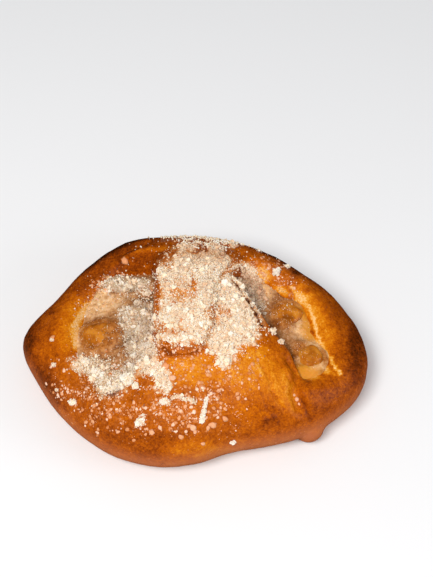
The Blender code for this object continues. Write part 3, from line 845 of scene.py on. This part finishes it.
# Diced apple
# Three dice of cooked apple lie in the open sides, amber and half clear, with soft edges. Each keeps the
# place, the size and the turn of its solid, and gets the fruit's uneven, slightly shrunken faces.
APPLE_ROUNDING, APPLE_SKEW, APPLE_UNEVENNESS = 3.4, 0.12, 0.06
APPLE_COLOURS = [(0.36, (0.25, 0.065, 0.003)), (0.5, (0.44, 0.125, 0.005)), (0.64, (0.63, 0.23, 0.02))]

fruit, tree, shader = new_material("apple_dice")
colour = ramp_node(tree, noise_node(tree, 200, 4, 0.6), APPLE_COLOURS)
skin = bump_node(tree, noise_node(tree, 500, 4), 0.4, 0.0005)
set_surface(tree, shader, colour, 0.28, skin, 0.3, through=0.3, tint=(1.0, 0.45, 0.1), depth=0.002)

apples = []
for node, (centre, size, turns) in APPLE_PIECES.items():
    turn = Euler([math.radians(a) for a in (turns[1], turns[2], turns[0])]).to_matrix()
    dice = add_block("cooked_" + node, 23)
    for v in dice.data.vertices:
        p = v.co / sum(abs(c) ** APPLE_ROUNDING for c in v.co) ** (1 / APPLE_ROUNDING)
        p = Vector(p[i] * size[i] * MM / 2 * (1 + APPLE_SKEW * p[(i + 1) % 3]) for i in range(3))
        p *= 1 + APPLE_UNEVENNESS * noise.noise(p / (3 * MM) + Vector(centre))
        v.co = Vector(centre) * MM + turn @ p
    dice.data.transform(Matrix.Translation(CENTRING))
    bpy.ops.object.shade_smooth()
    dice.data.materials.clear()
    dice.data.materials.append(fruit)
    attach(dice, "root")
    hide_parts(node)
    apples.append(dice)


# Streusel
# Crumbs of butter, flour and sugar: a drift of grains and finer ones, larger crumbs on it, clumps up to 5
# mm, and grains and specks that melted into the crust. Each kind is one piece. One crumb is modelled in
# several shapes, and the copies are turned, sized and laid on what carries them. A clump is a heap of them.
CRUMB_COLOURS = [
    (0.0, (0.3, 0.12, 0.07)),
    (0.12, (0.7, 0.42, 0.25)),
    (0.35, (0.88, 0.645, 0.44)),
    (0.65, (0.96, 0.8, 0.6)),
    (1.0, (0.99, 0.9, 0.76)),
]
GREY_COLOURS = [
    (0.0, (0.08, 0.03, 0.03)),
    (0.1, (0.34, 0.21, 0.13)),
    (0.5, (0.6, 0.44, 0.31)),
    (1.0, (0.86, 0.72, 0.57)),
]
GREY = [(136, 322, 22, 26, 0), (132, 350, 18, 26, 0), (125, 292, 16, 6, 0), (257, 305, 6, 18, -35)]
SHAPES = 14


def crumb_material(name, colours, dull, through):
    """Dry crumbs, with a tone for each crumb and greyer ones where they lie on the wet filling."""
    made, tree, shader = new_material(name)
    tone = attribute_node(tree, "tone")
    tone = math_node(tree, "MULTIPLY_ADD", noise_node(tree, 1800, 3, 0.7), 0.5, tone)
    tone = math_node(tree, "SUBTRACT", tone, 0.25)
    dry = ramp_node(tree, tone, colours)
    grey = ramp_node(tree, tone, GREY_COLOURS)
    colour = mix_node(tree, attribute_node(tree, "grey"), dry, grey)
    skin = bump_node(tree, noise_node(tree, 2500, 3, 0.7), 0.4, 0.0002)
    set_surface(tree, shader, colour, dull, skin, 0.25, through, tint=(1.0, 0.7, 0.4), depth=0.001)
    return made


draw = random.Random(4)
quick_share = 1


def crumb_shapes(divisions, roughness):
    """Points and faces of several uneven crumbs about 1 across."""
    shapes = []
    for _ in range(SHAPES):
        bpy.ops.mesh.primitive_ico_sphere_add(subdivisions=divisions, radius=0.5)
        lump = bpy.context.object
        seed = Vector((draw.uniform(0, 50), draw.uniform(0, 50), draw.uniform(0, 50)))
        stretch = Vector((draw.uniform(0.8, 1.35), draw.uniform(0.8, 1.1), draw.uniform(0.65, 0.95)))
        for v in lump.data.vertices:
            swells = noise.noise(v.co * 2.6 + seed) + 0.5 * noise.noise(v.co * 6 + seed)
            v.co = Vector(v.co[i] * (1 + roughness * swells) * stretch[i] for i in range(3))
        points = np.array([v.co[:] for v in lump.data.vertices])
        faces = np.array([p.vertices[:] for p in lump.data.polygons])
        shapes.append((points, faces))
        bpy.data.objects.remove(lump)
    return shapes


def joined_crumbs(name, shapes, places, finish, smooth):
    """One mesh of many crumbs, each (place, normal, width, tone, grey, height for its width)."""
    points, faces, tones, greys = [], [], [], []
    count = 0
    for place, normal, width, tone, grey, flat in places:
        shape_points, shape_faces = shapes[draw.randrange(len(shapes))]
        spin = Euler([draw.uniform(0, math.tau) for _ in range(3)]).to_matrix()
        if flat < 1:
            spin = Matrix.Rotation(draw.uniform(0, math.tau), 3, "Z")
            spin = normal.to_track_quat("Z", "Y").to_matrix() @ Matrix.Diagonal((1, 1, flat)) @ spin
        points.append(shape_points @ np.array(spin).T * width + np.array(place))
        faces.append(shape_faces + count)
        tones.append(np.full(len(shape_points), tone))
        greys.append(np.full(len(shape_points), grey))
        count += len(shape_points)
    mesh = bpy.data.meshes.new(name)
    mesh.from_pydata(np.concatenate(points).tolist(), [], np.concatenate(faces).tolist())
    for key, values in (("tone", tones), ("grey", greys)):
        made = mesh.attributes.new(key, "FLOAT", "POINT")
        made.data.foreach_set("value", np.concatenate(values))
    made = bpy.data.objects.new(name, mesh)
    bpy.context.scene.collection.objects.link(made)
    mesh.polygons.foreach_set("use_smooth", [smooth] * len(mesh.polygons))
    mesh.materials.append(finish)
    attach(made, "root")


ground = [BVHTree.FromObject(o, bpy.context.evaluated_depsgraph_get()) for o in (dough, filling, *apples)]


def seen_at(px, py):
    """Place and normal of the bun's surface at a pixel of the photograph, or None."""
    ray = photo_ray(px, py)
    hits = [surface.ray_cast(camera.location, ray) for surface in ground]
    hits = [h for h in hits if h[0] is not None]
    if not hits:
        return None
    place, normal, _, _ = min(hits, key=lambda h: h[3])
    return place, normal


LEFT, RIGHT, TOP, BOTTOM = 24, 366, 236, 468  # the bun's box in the photograph's pixels
TRIES_PER_CRUMB = 60
SHADE_SPECK_SHARE, SHADE_SPECK_WIDTH = 0.025, 0.6 * MM


def strewn(count, chance, sizes, rise, tones=(0.2, 1.0), flat=1):
    """Places for crumbs: pixels are drawn at random and kept by chance(px, py)."""
    found = []
    tries = 0
    count = int(count * quick_share)
    while len(found) < count and tries < count * TRIES_PER_CRUMB:
        tries += 1
        px, py = draw.uniform(LEFT, RIGHT), draw.uniform(TOP, BOTTOM)
        if draw.random() > chance(px, py):
            continue
        hit = seen_at(px, py)
        if hit is None or hit[1].z < 0:
            continue
        place, normal = hit
        width = (sizes[0] + (sizes[1] - sizes[0]) * draw.random() ** 2) * MM
        patch = 0.5 + 1.2 * noise.noise(Vector((px / 6, py / 6, 0.3)))
        grey = blot(px, py, GREY, soft=0.5) * min(1, max(0, patch + draw.uniform(-0.2, 0.3)))
        tone = draw.uniform(*tones) + 0.3 * noise.noise(Vector((px / 8, py / 8, 6.1)))
        # Grains on the far top, beside the folded corner and in the crack are darkened: painted shade.
        tone -= 0.75 * blot(px, py, SHADED_GRAINS, soft=0.6) * max(0, tone) + 0.8 * crack_at(px, py)
        # A few of the finest grains are made nearly black: painted shade of small holes between the grains.
        if width < SHADE_SPECK_WIDTH and draw.random() < SHADE_SPECK_SHARE:
            tone = 0
        found.append((place + normal * width * rise, normal, width, tone, grey, flat))
    return found


# Where they fall: x and its spread, and y from and to, in millimetres
FALL_X, FALL_SPREAD, FALL_START, FALL_END = 7, 14, 28, 46


def strewn_behind(tries):
    """Places for grains on the back slope."""
    found = []
    for _ in range(int(tries * quick_share)):
        x, y = draw.gauss(FALL_X, FALL_SPREAD) * MM, draw.uniform(FALL_START, FALL_END) * MM
        place, normal, _, _ = ground[0].ray_cast(Vector((x, y, 2 * CROWN)), Vector((0, 0, -1)))
        if place is None or draw.random() > 1.4 * behind_at(place, normal):
            continue
        width = (0.3 + 0.7 * draw.random() ** 2) * MM
        found.append((place + normal * width * 0.25, normal, width, draw.uniform(0.2, 1), 0, 1))
    return found


dry = crumb_material("streusel", CRUMB_COLOURS, 0.8, 0.25)
fine = crumb_shapes(divisions=1, roughness=0.5)
medium = crumb_shapes(divisions=2, roughness=1.0)
# Sizes are the least and the most width in millimetres, and rise is a crumb's height for its width.
places = strewn(9900, drift_at, sizes=(0.25, 0.75), rise=0.2)
joined_crumbs("streusel_grains", fine, places, dry, smooth=True)
places = strewn(3600, drift_at, sizes=(0.2, 0.6), rise=0.2)
places += strewn(1300, dust_at, sizes=(0.15, 0.4), rise=0.05, tones=(-0.1, 0.4))
places += strewn(1500, fringe_at, sizes=(0.25, 0.8), rise=0.2, tones=(0.0, 0.9))
places += strewn(450, thin_at, sizes=(0.25, 0.75), rise=0.2, tones=(0.0, 0.8))
places += strewn_behind(9000)
joined_crumbs("streusel_fine_grains", fine, places, dry, smooth=True)
places = strewn(520, lambda px, py: thick_at(px, py) ** 2, sizes=(0.8, 2.0), rise=0.12)
joined_crumbs("streusel_crumbs", medium, places, dry, smooth=False)

# Clumps that show one by one: pixel of the photograph, width in millimetres, tone, length for its width
# and turn in degrees
CLUMPS = [
    (127, 379, 4.6, 0.8, 1.1, 0), (118, 387, 4.2, 0.75, 1.2, 40), (136, 386, 2.8, 0.75, 1.3, -60),
    (108, 390, 3.6, 0.7, 1.3, 20), (96, 372, 3.4, 0.8, 1.2, 0), (86, 362, 3.0, 0.75, 1.3, 30),
    (133, 368, 3.0, 0.7, 1.2, -30), (277, 272, 3.6, 0.85, 1.1, 60), (287, 267, 2.0, 0.75, 1.2, 0),
    (272, 332, 2.8, 0.5, 1.2, 45), (281, 342, 2.4, 0.45, 1.0, 0), (73, 402, 2.8, 0.75, 1.3, 20),
    (54, 365, 2.0, 0.6, 1.0, 0), (52, 340, 1.6, 0.5, 1.0, 0), (163, 402, 2.4, 0.85, 1.0, 0),
    (138, 422, 1.6, 0.85, 2.2, -80), (143, 415, 1.2, 0.85, 1.6, -20), (206, 400, 1.6, 0.9, 2.4, -80),
    (205, 405, 1.7, 0.9, 2.4, -80), (204, 410, 1.9, 0.9, 2.2, -80), (203, 415, 2.1, 0.9, 2.0, -80),
    (202, 420, 2.3, 0.9, 1.6, -80), (185, 399, 1.9, 0.7, 2.4, 15), (233, 442, 2.0, 0.9, 1.3, 0),
    (57, 390, 1.5, 0.5, 1.0, 0), (225, 360, 3.0, 0.8, 1.4, 10), (233, 352, 2.6, 0.8, 1.4, -20),
    (147, 293, 2.8, 0.6, 1.6, 10), (137, 303, 2.4, 0.6, 1.2, 0), (128, 286, 2.4, 0.7, 1.6, 20),
    (140, 330, 3.0, 0.7, 1.3, -40), (146, 345, 2.8, 0.8, 1.3, 0), (160, 270, 2.2, 0.7, 1.3, -50),
]
GRAINS_PER_CLUMP = 34
CORE_WIDTH, CORE_RISE = 0.5, 0.15  # of a clump's width
CLUMP_REACH = 1.25  # pixels for each millimetre of a clump's width
places = []
for px, py, width, tone, length, turn in CLUMPS:
    grey = 0.6 * blot(px, py, GREY, soft=0.5)
    place, normal = seen_at(px, py)
    core = place + normal * CORE_RISE * width * MM
    places.append((core, normal, CORE_WIDTH * width * MM, tone, grey, 1))
    for _ in range(GRAINS_PER_CLUMP):
        out, angle = draw.random() ** 0.6, draw.uniform(0, math.tau)
        along, across = out * math.cos(angle) * length, out * math.sin(angle)
        c, s = math.cos(math.radians(turn)), math.sin(math.radians(turn))
        reach = CLUMP_REACH * width
        hit = seen_at(px + reach * (along * c - across * s), py + 0.8 * reach * (along * s + across * c))
        if hit is None:
            continue
        place, normal = hit
        crumb = width * draw.uniform(0.2, 0.45) * (1.15 - 0.5 * out) * MM
        rise = draw.uniform(0, 0.42) * (1 - out) * width * MM + 0.25 * crumb
        places.append((place + normal * rise, normal, crumb, tone * draw.uniform(0.75, 1.2), grey, 1))
joined_crumbs("streusel_clumps", medium, places, dry, smooth=False)


def soaked_chance(px, py):
    """Where crumbs melted into the crust, in groups."""
    groups = noise.noise(Vector((px / 8, py / 8, 4.4)))
    return blot(px, py, SOAKED, soft=0.6) * (1 - 0.8 * thick_at(px, py)) * smoothstep(-0.4, 0.3, groups)


def stray_chance(px, py):
    """Specks here and there, fewer towards the right."""
    return 0.3 * smoothstep(280, 190, px)


# The largest of them: pixel of the photograph and width in millimetres
MELTED_CRUMBS = [
    (213, 425, 2.2), (208, 428, 1.5), (193, 428, 2.2), (189, 426, 1.4), (195, 432, 1.3),
    (125, 261, 2.4), (152, 432, 1.8), (86, 422, 1.5), (225, 419, 1.8), (238, 398, 1.5), (181, 437, 1.7),
    (203, 444, 1.4), (166, 366, 2.2), (172, 378, 2.0), (52, 338, 1.6), (297, 399, 1.4), (294, 395, 0.9),
    (299, 404, 0.8), (160, 428, 1.4), (118, 432, 1.4),
]
SOAKED_COLOURS = [(0.0, (0.6, 0.19, 0.05)), (0.5, (0.8, 0.36, 0.17)), (1.0, (0.96, 0.68, 0.52))]
melted = crumb_material("soaked_streusel", SOAKED_COLOURS, 0.25, 0.1)
drops = crumb_shapes(divisions=2, roughness=0.6)
places = strewn(1100, soaked_chance, sizes=(0.25, 1.3), rise=-0.06, tones=(0.0, 0.9), flat=0.5)
for px, py, width in MELTED_CRUMBS:
    place, normal = seen_at(px, py)
    places.append((place, normal, width * MM, draw.uniform(0.35, 0.7), 0, 0.6))
joined_crumbs("streusel_soaked", drops, places, melted, smooth=True)
places = strewn(600, fringe_at, sizes=(0.25, 0.9), rise=-0.03, tones=(0.0, 0.8), flat=0.5)
places += strewn(1500, soaked_chance, sizes=(0.15, 0.45), rise=0, tones=(0.0, 0.8), flat=0.5)
places += strewn(200, stray_chance, sizes=(0.2, 0.6), rise=0, tones=(0.0, 0.5), flat=0.5)
joined_crumbs("soaked_specks", fine, places, melted, smooth=True)


# Floor and light
# A pale floor, a large soft light from the upper left, a small lamp above the camera that makes the
# glints, and a weak light from the right. Floor, soft light and sky aren't mirrored in the crust.
FLOOR_SIZE = 4
FLOOR_COLOUR = (0.86, 0.86, 0.87)
SKY_COLOUR, SKY_STRENGTH = (0.95, 0.97, 1), 0.35
bpy.ops.mesh.primitive_plane_add(size=FLOOR_SIZE)
floor = bpy.context.object
floor.name = "floor"
pale, tree, shader = new_material("pale_floor")
shader.inputs["Base Color"].default_value = (*FLOOR_COLOUR, 1)
shader.inputs["Roughness"].default_value = 0.9
floor.data.materials.append(pale)
floor.visible_glossy = False


def add_light(name, place, size, power, colour, glints):
    """A square light that faces the bun. Without glints it isn't mirrored in the surfaces."""
    data = bpy.data.lights.new(name, "AREA")
    data.size = size
    data.energy = power
    data.color = colour
    made = bpy.data.objects.new(name, data)
    made.visible_glossy = glints
    made.location = place
    made.rotation_euler = (Vector(place) - TARGET).to_track_quat("Z", "Y").to_euler()
    bpy.context.scene.collection.objects.link(made)


add_light("key", (-0.28, -0.45, 0.8), 0.35, 6.8, (1, 0.99, 0.97), False)
add_light("lamp", (0.05, -0.45, 0.75), 0.06, 1.2, (1, 0.98, 0.95), True)
add_light("side", (0.8, -0.25, 0.35), 0.4, 1.6, (0.95, 0.97, 1), True)
world = bpy.data.worlds.new("studio")
bpy.context.scene.world = world
world.use_nodes = True
sky = world.node_tree.nodes["Background"]
sky.inputs["Color"].default_value = (*SKY_COLOUR, 1)
sky.inputs["Strength"].default_value = SKY_STRENGTH
world.cycles_visibility.glossy = False
bpy.context.scene.view_settings.view_transform = "Standard"
